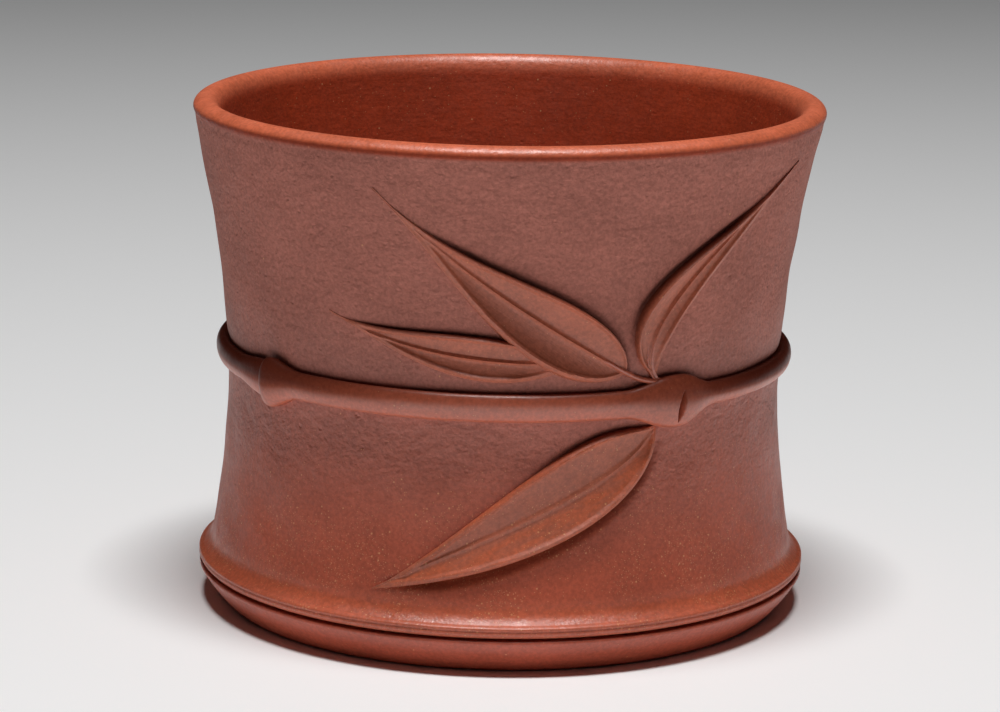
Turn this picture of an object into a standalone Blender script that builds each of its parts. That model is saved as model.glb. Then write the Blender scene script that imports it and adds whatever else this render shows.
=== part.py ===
"""Tea cup in the form of a bamboo section, hand-built in unglazed clay.

The cup is put together from rolled and cut pieces that are luted with slip: a waisted wall, a rounded lip,
a base disc, a ridge and a foot ring, a bamboo branch laid round the waist in four lengths, and the leaves
and stalks that grow from one of its joints.

Units are metres and +Z is up. The origin is the centre of the face that the cup stands on, the leaves face
-Y, and angles round the cup are degrees from the front, growing towards +X.
"""

import math
from typing import NamedTuple

import bmesh
import bpy
from mathutils import Vector

# Slip between two pieces that touch
SLIP_GAP = 0.0003

# Wall: a waisted tube whose radius grows by a power law above and below the waist
CUP_HEIGHT = 0.0583
WAIST_HEIGHT = 0.0255
WAIST_RADIUS = 0.03164
MOUTH_FLARE = 0.0041
FOOT_FLARE = 0.00207
FLARE_POWER = 1.75
WALL_THICKNESS = 0.0030

# Lip: straight below, half an ellipse above
LIP_HEIGHT = 0.0017
LIP_ROUND_HEIGHT = 0.0012
LIP_PROUD = 0.0003

# Ridge: an S-shaped fillet and a round lip, let into a shallow rebate at the foot of the wall
RIDGE_FILLET_HEIGHT = 0.00225
RIDGE_LIP_HEIGHT = 0.00045
RIDGE_PROUD = 0.00125
RIDGE_REBATE = 0.0006

# Foot: a ring that tapers down to the face it stands on, with a shelf inside for the base disc
FOOT_HEIGHT = 0.00395
FOOT_SETBACK = 0.0001
FOOT_TAPER = 0.0025
FOOT_BELLY = 0.0005
FOOT_WIDTH = 0.0055
GROOVE_ROUND = 0.0004

# Base disc: stands on the shelf of the foot and fills the bore of the wall
BASE_RECESS = 0.0022
BASE_THICKNESS = 0.0032

# Branch: half-round lengths that swell where they meet
BRANCH_ABOVE_WAIST = 0.0037
STEM_HALF_HEIGHT = 0.00165
STEM_PROUD = 0.0013
NODE_SWELL_HEIGHT = 0.0013
NODE_SWELL_PROUD = 0.0006
NODE_FLAT_LENGTH = 0.0012
NODE_SWELL_LENGTH = 0.0050
NODE_EDGE_ROUND = 0.0004
RIGHT_NODE_ANGLE = 36.8
LEFT_NODE_ANGLE = -54.2

# Leaves: pressed blades with raised edges and a fine rib in the valley between them
LEAF_EDGE_HEIGHT = 0.00105
LEAF_RIM_HEIGHT = 0.00065
LEAF_VALLEY_HEIGHT = 0.00060
LEAF_RIB_HEIGHT = 0.00080
LEAF_TIP_HALF_WIDTH = 0.00022
LEAF_TIP_THICKNESS = 0.00020
LEAF_CREST_SHARE = 0.82
LEAF_RIB_SHARE = 0.10

# Stalks: half-round, from the branch to the base of a leaf
STALK_HALF_WIDTH = 0.00042
STALK_BEND = 0.0013
STALK_HEIGHT = 0.00085

# Facets
TURN_STEPS = 64
WALL_STEPS = 12
BORE_STEPS = 8
ROUND_STEPS = 6
BRANCH_STEPS = 18
BRANCH_SIDES = 7
LEAF_STEPS = 20
STALK_STEPS = 4
MERGE_DISTANCE = 0.000001

# Clay colours
WALL_CLAY = (0.30, 0.105, 0.075)
BURNISHED_CLAY = (0.36, 0.085, 0.045)
WALL_ROUGHNESS = 0.75
BURNISHED_ROUGHNESS = 0.5

# Sizes that follow from the ones above
WALL_BOTTOM = FOOT_HEIGHT + SLIP_GAP
WALL_TOP = CUP_HEIGHT - LIP_HEIGHT - SLIP_GAP
RIDGE_CREST = WALL_BOTTOM + RIDGE_LIP_HEIGHT
RIDGE_TOP = RIDGE_CREST + RIDGE_FILLET_HEIGHT
WALL_TOP_RADIUS = WAIST_RADIUS + MOUTH_FLARE
WALL_FOOT_RADIUS = WAIST_RADIUS + FOOT_FLARE
RIDGE_RADIUS = WALL_FOOT_RADIUS + RIDGE_PROUD
RIDGE_SEAT_RADIUS = WALL_FOOT_RADIUS - RIDGE_REBATE
FOOT_TOP_RADIUS = RIDGE_RADIUS - FOOT_SETBACK
FOOT_CONTACT_RADIUS = FOOT_TOP_RADIUS - FOOT_TAPER
FOOT_BORE_RADIUS = FOOT_CONTACT_RADIUS - FOOT_WIDTH
FLOOR_HEIGHT = BASE_RECESS + SLIP_GAP + BASE_THICKNESS
BRANCH_HEIGHT = WAIST_HEIGHT + BRANCH_ABOVE_WAIST
UPPER_PANEL = WALL_TOP - BRANCH_HEIGHT
LOWER_PANEL = BRANCH_HEIGHT - RIDGE_TOP


class Edge(NamedTuple):
    """One side of a leaf: its greatest width, and how full it is towards the base and the tip."""

    width: float
    base_power: float
    tip_power: float

    def half_width(self, share):
        """Width beside the midrib, at a share of the way from the base to the tip."""
        peak = self.base_power / (self.base_power + self.tip_power)
        return self.width * (share / peak) ** self.base_power * ((1 - share) / (1 - peak)) ** self.tip_power


class Leaf(NamedTuple):
    """A leaf laid on the wall. Rises are heights over the branch's centre line, negative below it."""

    base_angle: float
    base_rise: float
    tip_angle: float
    tip_rise: float
    base_bow: float
    tip_bow: float
    left: Edge
    right: Edge


LEAVES = {
    "leaf_upper_left": Leaf(
        base_angle=24.1, base_rise=0.0035, tip_angle=-24.0, tip_rise=0.87 * UPPER_PANEL,
        base_bow=0.0012, tip_bow=0.0018,
        left=Edge(width=0.00345, base_power=0.83, tip_power=2.5),
        right=Edge(width=0.0038, base_power=0.73, tip_power=2.0)),
    "leaf_lower_left": Leaf(
        base_angle=15.5, base_rise=0.0047, tip_angle=-35.3, tip_rise=0.34 * UPPER_PANEL,
        base_bow=0.0012, tip_bow=0.0022,
        left=Edge(width=0.00205, base_power=1.3, tip_power=2.4),
        right=Edge(width=0.00255, base_power=1.0, tip_power=1.55)),
    "leaf_right": Leaf(
        base_angle=27.3, base_rise=0.0055, tip_angle=65.2, tip_rise=0.90 * UPPER_PANEL,
        base_bow=0.0038, tip_bow=0.0026,
        left=Edge(width=0.0031, base_power=0.45, tip_power=2.0),
        right=Edge(width=0.00225, base_power=0.35, tip_power=1.25)),
    "leaf_lower": Leaf(
        base_angle=30.9, base_rise=-0.0031, tip_angle=-24.6, tip_rise=-0.905 * LOWER_PANEL,
        base_bow=0.0016, tip_bow=0.0019,
        left=Edge(width=0.00355, base_power=0.56, tip_power=1.3),
        right=Edge(width=0.0045, base_power=0.58, tip_power=1.32)),
}

# Where each stalk meets the branch, as an angle round the cup
STALK_FEET = {
    "stalk_upper_left": ("leaf_upper_left", 28.2),
    "stalk_right": ("leaf_right", 31.4),
}


def wall_radius(height):
    """Outer radius of the wall at a height."""
    if height > WAIST_HEIGHT:
        share = (height - WAIST_HEIGHT) / (WALL_TOP - WAIST_HEIGHT)
        return WAIST_RADIUS + MOUTH_FLARE * share ** FLARE_POWER
    share = (WAIST_HEIGHT - height) / (WAIST_HEIGHT - RIDGE_TOP)
    return WAIST_RADIUS + FOOT_FLARE * share ** FLARE_POWER


def bore_radius(height):
    """Inner radius of the wall at a height. Below the floor the bore is straight, to hold the base disc."""
    return wall_radius(max(height, FLOOR_HEIGHT)) - WALL_THICKNESS


def on_wall(angle, height, proud):
    """Point that stands proud of the wall, at an angle round the cup in degrees."""
    radius = wall_radius(height) + proud
    turn = math.radians(angle)
    return Vector((radius * math.sin(turn), -radius * math.cos(turn), height))


def along(start, end, steps):
    """Evenly spaced values from start to end, both included."""
    return [start + (end - start) * step / steps for step in range(steps + 1)]


def eased(steps):
    """Shares from 0 to 1 that crowd together at both ends."""
    return [0.5 - 0.5 * math.cos(math.pi * step / steps) for step in range(steps + 1)]


def clay(name, colour, roughness):
    """Principled material for one kind of clay surface."""
    material = bpy.data.materials.new(name)
    material.use_nodes = True
    shader = material.node_tree.nodes["Principled BSDF"]
    shader.inputs["Base Color"].default_value = (*colour, 1.0)
    shader.inputs["Roughness"].default_value = roughness
    shader.inputs["Metallic"].default_value = 0.0
    return material


def place(name, shape, material):
    """Turn a bmesh into a named object that carries its own material."""
    mesh = bpy.data.meshes.new(name)
    shape.to_mesh(mesh)
    shape.free()
    mesh.materials.append(material)
    mesh.shade_smooth()
    part = bpy.data.objects.new(name, mesh)
    bpy.context.scene.collection.objects.link(part)
    return part


def turned(name, profile, material):
    """Revolve a closed profile of (radius, height) points, listed down the outside and up the inside."""
    shape = bmesh.new()
    corners = [shape.verts.new((radius, 0.0, height)) for radius, height in profile]
    for index, corner in enumerate(corners):
        shape.edges.new((corner, corners[(index + 1) % len(corners)]))
    part = place(name, shape, material)
    turn = part.modifiers.new("Turn", "SCREW")
    turn.axis = "Z"
    turn.angle = math.tau
    turn.steps = TURN_STEPS
    turn.render_steps = TURN_STEPS
    turn.use_merge_vertices = True
    turn.merge_threshold = MERGE_DISTANCE
    return part


def lofted(name, sections, material):
    """Skin a row of closed sections that have the same number of points, and cap both ends."""
    shape = bmesh.new()
    rings = [[shape.verts.new(point) for point in section] for section in sections]
    count = len(rings[0])
    for ring, following in zip(rings, rings[1:]):
        for index in range(count):
            beside = (index + 1) % count
            shape.faces.new((ring[index], ring[beside], following[beside], following[index]))
    shape.faces.new(reversed(rings[0]))
    shape.faces.new(rings[-1])
    bmesh.ops.recalc_face_normals(shape, faces=shape.faces)
    return place(name, shape, material)


def body_wall():
    """Waisted slab, stepped back at its foot where the ridge is let in."""
    outside = [(wall_radius(height), height) for height in along(WALL_TOP, RIDGE_TOP, WALL_STEPS)]
    rebate = [(RIDGE_SEAT_RADIUS, RIDGE_TOP), (RIDGE_SEAT_RADIUS, WALL_BOTTOM)]
    straight = [(bore_radius(FLOOR_HEIGHT), WALL_BOTTOM)]
    inside = [(bore_radius(height), height) for height in along(FLOOR_HEIGHT, WALL_TOP, BORE_STEPS)]
    turned("body_wall", outside + rebate + straight + inside,
           clay("wall_clay", WALL_CLAY, WALL_ROUGHNESS))


def lip_ring():
    """Lip with an elliptical top, a little proud of the wall on its outside."""
    seat = WALL_TOP + SLIP_GAP
    spring = CUP_HEIGHT - LIP_ROUND_HEIGHT
    middle = WALL_TOP_RADIUS + LIP_PROUD - WALL_THICKNESS / 2
    crown = []
    for turn in along(math.pi, 0.0, 2 * ROUND_STEPS):
        crown.append((middle + WALL_THICKNESS / 2 * math.cos(turn),
                      spring + LIP_ROUND_HEIGHT * math.sin(turn)))
    foot = [(WALL_TOP_RADIUS, seat), (WALL_TOP_RADIUS - WALL_THICKNESS, seat)]
    turned("lip_ring", crown + foot, clay("lip_clay", BURNISHED_CLAY, BURNISHED_ROUGHNESS))


def ridge_ring():
    """Ridge that swells out of the wall in an S-curve, and rounds under to the groove."""
    seat = RIDGE_SEAT_RADIUS + SLIP_GAP
    top = RIDGE_TOP - SLIP_GAP
    fillet = []
    for share in along(0.0, 1.0, ROUND_STEPS):
        swell = share * share * (3 - 2 * share)
        fillet.append((WALL_FOOT_RADIUS + RIDGE_PROUD * swell, top + (RIDGE_CREST - top) * share))
    lip = []
    for turn in along(0.0, math.pi / 2, ROUND_STEPS // 2)[1:]:
        lip.append((RIDGE_RADIUS - GROOVE_ROUND * (1 - math.cos(turn)),
                    RIDGE_CREST - RIDGE_LIP_HEIGHT * math.sin(turn)))
    turned("ridge_ring", [(seat, top)] + fillet + lip + [(seat, WALL_BOTTOM)],
           clay("ridge_clay", BURNISHED_CLAY, BURNISHED_ROUGHNESS))


def foot_ring():
    """Tapering foot with a slightly full outside and a shelf inside."""
    shoulder = FOOT_HEIGHT - GROOVE_ROUND
    outside = [(FOOT_TOP_RADIUS - GROOVE_ROUND, FOOT_HEIGHT)]
    for share in along(0.0, 1.0, ROUND_STEPS):
        belly = FOOT_BELLY * math.sin(math.pi * share)
        outside.append((FOOT_TOP_RADIUS - FOOT_TAPER * share + belly, shoulder * (1 - share)))
    shelf_radius = bore_radius(FLOOR_HEIGHT)
    inside = [(FOOT_BORE_RADIUS, 0.0), (FOOT_BORE_RADIUS, BASE_RECESS),
              (shelf_radius, BASE_RECESS), (shelf_radius, FOOT_HEIGHT)]
    turned("foot_ring", outside + inside, clay("foot_clay", BURNISHED_CLAY, BURNISHED_ROUGHNESS))


def base_disc():
    """Floor of the cup, a plain disc."""
    radius = bore_radius(FLOOR_HEIGHT) - SLIP_GAP
    shape = bmesh.new()
    bmesh.ops.create_cone(shape, cap_ends=True, segments=TURN_STEPS, radius1=radius, radius2=radius,
                          depth=BASE_THICKNESS)
    disc = place("base_disc", shape, clay("base_clay", BURNISHED_CLAY, WALL_ROUGHNESS))
    disc.location.z = FLOOR_HEIGHT - BASE_THICKNESS / 2


def node_swell(distance):
    """Share of a joint's swelling at a distance along the branch: full at the joint, none on the stem."""
    share = min(max((distance - NODE_FLAT_LENGTH) / NODE_SWELL_LENGTH, 0.0), 1.0)
    return 0.5 + 0.5 * math.cos(math.pi * share)


def branch_edge(angle):
    """Half the height of the branch beside its right joint, where the leaves grow."""
    distance = abs(math.radians(angle - RIGHT_NODE_ANGLE)) * WAIST_RADIUS
    return STEM_HALF_HEIGHT + NODE_SWELL_HEIGHT * node_swell(distance)


def half_round(angle, half_height, proud):
    """Section of the branch: half an ellipse on the wall."""
    section = [on_wall(angle, BRANCH_HEIGHT - half_height, SLIP_GAP)]
    for turn in along(-math.pi / 2, math.pi / 2, BRANCH_SIDES)[1:-1]:
        height = BRANCH_HEIGHT + half_height * math.sin(turn)
        section.append(on_wall(angle, height, SLIP_GAP + (proud - SLIP_GAP) * math.cos(turn)))
    section.append(on_wall(angle, BRANCH_HEIGHT + half_height, SLIP_GAP))
    section.append(on_wall(angle, BRANCH_HEIGHT, SLIP_GAP))
    return section


def branch_length(name, start_angle, end_angle, start_swell, end_swell):
    """One length of the branch. A swell of 1 is a full joint, and 0 is an end that tucks in plain."""
    half_gap = SLIP_GAP / 2
    span = math.radians(end_angle - start_angle) * WAIST_RADIUS
    inner = span - 2 * (half_gap + NODE_EDGE_ROUND)
    stations = [half_gap]
    stations += [half_gap + NODE_EDGE_ROUND + inner * share for share in eased(BRANCH_STEPS)]
    stations += [span - half_gap]
    sections = []
    for station in stations:
        swell = start_swell * node_swell(station) + end_swell * node_swell(span - station)
        half_height = STEM_HALF_HEIGHT + NODE_SWELL_HEIGHT * swell
        proud = STEM_PROUD + NODE_SWELL_PROUD * swell
        if station in (stations[0], stations[-1]):
            half_height -= NODE_EDGE_ROUND
            proud -= NODE_EDGE_ROUND
        angle = start_angle + (end_angle - start_angle) * station / span
        sections.append(half_round(angle, half_height, proud))
    lofted(name, sections, clay(name + "_clay", BURNISHED_CLAY, BURNISHED_ROUGHNESS))


def branch():
    """Four lengths round the cup. The two joints at the back share out the rest of the circle."""
    back_span = (360.0 + LEFT_NODE_ANGLE - RIGHT_NODE_ANGLE) / 3
    right_back = RIGHT_NODE_ANGLE + back_span
    left_back = right_back + back_span
    branch_length("branch_front", LEFT_NODE_ANGLE, RIGHT_NODE_ANGLE, 1.0, 1.0)
    branch_length("branch_right", RIGHT_NODE_ANGLE, right_back, 1.0, 1.0)
    branch_length("branch_back", right_back, left_back, 1.0, 1.0)
    branch_length("branch_left", left_back, left_back + back_span, 1.0, 0.0)


def leaf_base(leaf):
    """Base of a leaf's midrib on the unrolled wall: distance round the waist, and rise over the branch."""
    return Vector((math.radians(leaf.base_angle) * WAIST_RADIUS, leaf.base_rise))


def leaf_tip(leaf):
    """Tip of a leaf's midrib on the unrolled wall."""
    return Vector((math.radians(leaf.tip_angle) * WAIST_RADIUS, leaf.tip_rise))


def midrib(leaf, share):
    """Point of the midrib on the unrolled wall and the direction square to it, on its left."""
    base, tip = leaf_base(leaf), leaf_tip(leaf)
    chord = tip - base
    side = Vector((-chord.y, chord.x)).normalized()
    first = base + chord / 3 + side * leaf.base_bow
    second = base + chord * 2 / 3 + side * leaf.tip_bow
    rest = 1 - share
    point = base * rest ** 3 + first * 3 * rest ** 2 * share + second * 3 * rest * share ** 2 + tip * share ** 3
    heading = (first - base) * rest ** 2 + (second - first) * 2 * rest * share + (tip - second) * share ** 2
    heading.normalize()
    return point, Vector((-heading.y, heading.x))


def clear_of_branch(flat):
    """Keep a point of a leaf or stalk off the branch, with room for the slip."""
    angle = math.degrees(flat.x / WAIST_RADIUS)
    limit = branch_edge(angle) + SLIP_GAP
    if flat.y > 0:
        return angle, BRANCH_HEIGHT + max(flat.y, limit)
    return angle, BRANCH_HEIGHT + min(flat.y, -limit)


def across_leaf(leaf, share, place_across, margin=0.0):
    """Unrolled point of a leaf: place_across runs from -1 at its right edge to 1 at its left edge."""
    point, left_of = midrib(leaf, share)
    edge = leaf.left if place_across > 0 else leaf.right
    half_width = max(edge.half_width(share), LEAF_TIP_HALF_WIDTH) + margin
    return point + left_of * half_width * place_across


def leaf_surface(leaf, share):
    """Places across a leaf with the height of its upper face there, thinning towards the tip and base."""
    widest = max(leaf.left.width, leaf.right.width)
    width = max(leaf.left.half_width(share), leaf.right.half_width(share), LEAF_TIP_HALF_WIDTH)
    body = math.sqrt(width / widest)
    middle = (LEAF_CREST_SHARE + LEAF_RIB_SHARE) / 2
    slope = (LEAF_EDGE_HEIGHT + LEAF_VALLEY_HEIGHT) / 2
    side = [(1.0, LEAF_RIM_HEIGHT), (LEAF_CREST_SHARE, LEAF_EDGE_HEIGHT), (middle, slope),
            (LEAF_RIB_SHARE, LEAF_VALLEY_HEIGHT)]
    places = [(-where, height) for where, height in side] + [(0.0, LEAF_RIB_HEIGHT)] + side[::-1]
    least = SLIP_GAP + LEAF_TIP_THICKNESS
    return [(where, max(SLIP_GAP + (height - SLIP_GAP) * body, least)) for where, height in places]


def leaf_shares():
    """Shares along a leaf, close together at the base and tip, that leave out the two bare ends."""
    return eased(LEAF_STEPS + 2)[1:-1]


def leaf_blade(name, leaf):
    """Leaf pressed on the wall: a V-shaped upper face over a back that follows the wall."""
    sections = []
    for share in leaf_shares():
        upper = leaf_surface(leaf, share)
        section = []
        for where, height in upper:
            section.append(on_wall(*clear_of_branch(across_leaf(leaf, share, where)), height))
        for where in (1.0, 0.0, -1.0):
            section.append(on_wall(*clear_of_branch(across_leaf(leaf, share, where)), SLIP_GAP))
        sections.append(section)
    return lofted(name, sections, clay(name + "_clay", BURNISHED_CLAY, BURNISHED_ROUGHNESS))


def leaf_cutter(name, leaf):
    """Outline of a leaf, wider by the slip, as a deep block that trims the leaf lying under it."""
    sections = []
    for share in leaf_shares():
        section = []
        for proud in (-WALL_THICKNESS / 2, WALL_THICKNESS):
            ends = (-1.0, 1.0) if proud > 0 else (1.0, -1.0)
            for where in ends:
                flat = across_leaf(leaf, share, where, SLIP_GAP)
                angle = math.degrees(flat.x / WAIST_RADIUS)
                section.append(on_wall(angle, BRANCH_HEIGHT + flat.y, proud))
        sections.append(section)
    cutter = lofted(name, sections, clay(name + "_guide", BURNISHED_CLAY, BURNISHED_ROUGHNESS))
    cutter.hide_render = True
    cutter.display_type = "WIRE"
    return cutter


def leaves():
    """Four leaves. The lower left one is trimmed where the upper left one lies over it."""
    blades = {name: leaf_blade(name, leaf) for name, leaf in LEAVES.items()}
    cutter = leaf_cutter("overlap_guide", LEAVES["leaf_upper_left"])
    tuck = blades["leaf_lower_left"].modifiers.new("Tuck", "BOOLEAN")
    tuck.operation = "DIFFERENCE"
    tuck.object = cutter
    tuck.solver = "EXACT"


def stalk(name, leaf, foot_angle):
    """Stalk that leaves the branch and bends into the base of a leaf, clear of both by the slip."""
    foot_rise = branch_edge(foot_angle) + SLIP_GAP + STALK_HALF_WIDTH
    foot = Vector((math.radians(foot_angle) * WAIST_RADIUS, math.copysign(foot_rise, leaf.base_rise)))
    blade_start, left_of = midrib(leaf, leaf_shares()[0])
    heading = Vector((left_of.y, -left_of.x))
    end = blade_start - heading * SLIP_GAP
    bend = end - heading * STALK_BEND
    sections = []
    for share in along(0.0, 1.0, STALK_STEPS):
        flat = foot.lerp(bend, share).lerp(bend.lerp(end, share), share)
        run = (bend - foot).lerp(end - bend, share)
        side = Vector((-run.y, run.x)).normalized() * STALK_HALF_WIDTH
        section = []
        for turn in along(0.0, math.pi, ROUND_STEPS):
            proud = SLIP_GAP + (STALK_HEIGHT - SLIP_GAP) * math.sin(turn)
            section.append(on_wall(*clear_of_branch(flat + side * math.cos(turn)), proud))
        sections.append(section)
    lofted(name, sections, clay(name + "_clay", BURNISHED_CLAY, BURNISHED_ROUGHNESS))


def build():
    """Clear the scene and make every piece of the cup."""
    for leftover in list(bpy.data.objects):
        bpy.data.objects.remove(leftover, do_unlink=True)
    body_wall()
    lip_ring()
    ridge_ring()
    foot_ring()
    base_disc()
    branch()
    leaves()
    for name, (leaf_name, foot_angle) in STALK_FEET.items():
        stalk(name, LEAVES[leaf_name], foot_angle)


build()
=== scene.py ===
"""Looks of the tea cup in the form of a bamboo section: fired, unglazed clay on a pale table.

Every piece of the CAD frame gets a finer mesh in its place: the turned body, the branch that runs round the
waist, and the leaves and stalks that grow from one of its joints. Pieces that were luted together sink a
little into each other, so that the clay looks grown together.

Units are metres and +Z is up. The leaves face -Y, and angles round the cup are degrees from the front,
growing towards +X. Sizes that the frame doesn't give are close to those of the CAD source.
"""

import math
from typing import NamedTuple

import bmesh
import bpy
import numpy as np
from mathutils import Matrix, Vector


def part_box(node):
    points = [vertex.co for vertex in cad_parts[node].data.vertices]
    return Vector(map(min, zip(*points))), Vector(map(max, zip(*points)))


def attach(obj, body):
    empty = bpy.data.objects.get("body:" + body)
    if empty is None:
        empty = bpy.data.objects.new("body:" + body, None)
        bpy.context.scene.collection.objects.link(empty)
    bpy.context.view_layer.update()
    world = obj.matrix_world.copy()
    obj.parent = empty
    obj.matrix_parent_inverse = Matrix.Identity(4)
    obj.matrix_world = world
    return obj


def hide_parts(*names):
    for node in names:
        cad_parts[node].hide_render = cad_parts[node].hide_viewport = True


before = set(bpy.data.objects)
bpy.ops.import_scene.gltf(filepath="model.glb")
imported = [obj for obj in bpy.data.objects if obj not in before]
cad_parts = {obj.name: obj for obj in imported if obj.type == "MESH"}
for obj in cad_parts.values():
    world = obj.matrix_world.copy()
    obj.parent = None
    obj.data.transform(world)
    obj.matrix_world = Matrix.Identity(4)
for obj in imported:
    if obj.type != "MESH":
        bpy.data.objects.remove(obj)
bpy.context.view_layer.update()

# How far fine forms stand past the solids that they replace, or short of them
RIDGE_PROUD = 0.00009
FOOT_PROUD = 0.00014
LIP_INSET = 0.00015
LIP_LOWERING = 0.00026

# Sizes that the frame gives
CUP_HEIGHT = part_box("lip_ring")[1].z
WALL_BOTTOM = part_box("body_wall")[0].z
WALL_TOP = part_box("body_wall")[1].z
WALL_TOP_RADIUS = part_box("body_wall")[1].x
RIDGE_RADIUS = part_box("ridge_ring")[1].x + RIDGE_PROUD
FOOT_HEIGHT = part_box("foot_ring")[1].z
FLOOR_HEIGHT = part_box("base_disc")[1].z
BASE_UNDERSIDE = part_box("base_disc")[0].z
BRANCH_HEIGHT = (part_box("branch_front")[0].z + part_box("branch_front")[1].z) / 2

# Wall: a waisted tube whose radius grows by a power law above and below the waist
WAIST_HEIGHT = 0.0255
WAIST_RADIUS = 0.03164
MOUTH_FLARE = WALL_TOP_RADIUS - WAIST_RADIUS
FOOT_FLARE = 0.00192
FLARE_POWER = 1.75
WALL_THICKNESS = 0.0030
RIDGE_TOP = 0.00695

# Lip: a bead that rounds over into the bore, on a rim that isn't quite level or central
LIP_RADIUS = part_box("lip_ring")[1].x - LIP_INSET
LIP_BLEND = 0.0012
LIP_PEAK_HEIGHT = CUP_HEIGHT - LIP_LOWERING
LIP_BEAD_WIDTH = 0.00145
LIP_BEAD_HEIGHT = 0.00105
LIP_PEAK_RADIUS = LIP_RADIUS - LIP_BEAD_WIDTH
LIP_INNER_DROP = 0.0024
LIP_INNER_HEIGHT = LIP_PEAK_HEIGHT - LIP_INNER_DROP
LIP_INNER_FULLNESS = 0.55
LIP_UNDER_TURN = -20.0
LIP_PINCH = 0.0005
RIM_TILT = 0.00017
RIM_SIDE_TILT = 0.00008
RIM_SHIFT = 0.00024
RIM_SHIFT_START = 0.050

# Ridge and foot, with the groove between them
RIDGE_CREST = 0.00538
RIDGE_BLEND_TOP = 0.0086
RIDGE_SHOULDER_HEIGHT = 0.00580
RIDGE_SHOULDER_INSET = 0.00055
RIDGE_SHOULDER_TILT = math.radians(52)
RIDGE_HOLLOW = 0.50
RIDGE_ROUND = 0.00026
RIDGE_COVE_HEIGHT = 0.00520
RIDGE_COVE_DEPTH = 0.00007
RIDGE_BEAD_HEIGHT = 0.00490
RIDGE_UNDERCUT = 0.00012
GROOVE_LIFT = 0.00016
GROOVE_ROUND = 0.0002
GROOVE_DEPTH = 0.0014
FOOT_TOP_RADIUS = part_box("foot_ring")[1].x + FOOT_PROUD
FOOT_TOP_ROUND = 0.00032
FOOT_TAPER = 0.00264
FOOT_CONTACT_RADIUS = FOOT_TOP_RADIUS - FOOT_TAPER
FOOT_BELLY = 0.00015
FOOT_WIDTH = 0.0055
FOOT_EDGE_ROUND = 0.0003
FLOOR_FILLET = 0.0045
HIDDEN_STEP = 0.0004

# Branch: round lengths that swell where they meet
STEM_PROUD = 0.0013
STEM_CENTRE = 0.35
STEM_LOW_TURN = -98.0
STEM_HIGH_TURN = 118.0
# Painted shade on the branch's upper side, which the lip overhangs; more of it towards the cup's sides, less
# at the back
STEM_SHADE_TURN = -20.0
STEM_SHADE_SPAN = 55.0
STEM_SIDE_LOWER = 16.0
STEM_FRONT_SHADE = 0.32
STEM_SIDE_SHADE = 1.6
STEM_SIDE_ANGLE = 62.0
STEM_TOP_TURN = 60.0
STEM_BACK_EASE = 0.5
NODE_FLAT_LENGTH = 0.0005
NODE_EDGE_ROUND = 0.0014
NODE_EDGE_LENGTH = 0.0024
RIGHT_NODE_ANGLE = 36.8
LEFT_NODE_ANGLE = -54.2
STEM_SINK = 0.0008

# Nick that a knife left in the right joint: a lens, leaning a little
NICK_PLACE = 0.00075
NICK_RISE = -0.00045
NICK_HALF_LENGTH = 0.00185
NICK_HALF_WIDTH = 0.00048
NICK_DEPTH = 0.00125
NICK_LEAN = 0.13
NICK_TIP_SHARE = 0.001
NICK_FINE_REACH = 3 * NICK_HALF_WIDTH

# Leaves: pressed blades with raised edges and a fine rib in the valley between them
LEAF_VALLEY_HEIGHT = 0.00024
LEAF_RIB_HEIGHT = 0.00036
LEAF_RIB_HALF_WIDTH = 0.00018
LEAF_RIM_HEIGHT = 0.00022
LEAF_RIM_INSET = 0.00008
LEAF_RIM_HALF_WIDTH = 0.00017
LEAF_TIP_HALF_WIDTH = 0.00010
LEAF_SINK = 0.0014
# Painted shade along a leaf's foot beside a scoop reaches this far
LEAF_SHADE_WIDTH = 0.00012
LEAF_DISH_POWER = 1.7
LEAF_BODY_POWER = 0.6
LEAF_SHOULDER_SHARE = 0.7
LEAF_SHOULDER_DROP = 0.75
LEAF_TUCK_START = 0.3
LEAF_END_TURN = 0.02
# Painted shade in a leaf's dish grows from the midrib to full at this share of the way to the edge
DISH_SHADE_START = 0.75
# Painted light, brighter orange, where a leaf faces the lamp: shares across the left half where it is full,
# where it starts to fade and by how much, and where it starts on the right half's rim
PAINTED_LIGHT_START = 0.35
PAINTED_LIGHT_END = 0.70
PAINTED_LIGHT_RIM = 0.80
PAINTED_LIGHT_FADE = 0.6
LEAF_ROWS = 160
LEAF_COLUMNS = 26

# Stalks: fine ridges that run from the branch into the midrib of a leaf
STALK_SINK = 0.0010
STALK_FALL_POWER = 0.5
STALK_ROUND_POWER = 0.6
STALK_HOLLOW_POWER = 4

# Scoops beside the leaves: two shares of a leaf's length, a number of widths, and a height
SCOOP_RAMP = 0.2
SCOOP_WIDENING = 0.4
SCOOP_REACH = 4.0
SCOOP_FADE = 0.0012

# Crease in the wall over the branch. Creases and scoops get painted shade, darker the deeper they are, and
# painted shade spreads over the wall about the crease.
CREASE_DEPTH = 0.00020
CREASE_WIDTH = 0.00055
CREASE_POWER = 1.4
CREASE_SHADE = 0.62
CREASE_SHADE_WIDTH = 0.0011
PAINTED_SHADE_FULL_DEPTH = 0.0007

# Hand-made unevenness of the wall: waves, so many round the cup, that climb at so many radians a metre
WAVES = 18
WAVES_AROUND = (3, 26)
WAVES_UPWARD = (100, 900)
WAVE_HEIGHT = 0.000011
WAVE_SEED = 5
WAVE_FADE = 0.003

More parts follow.
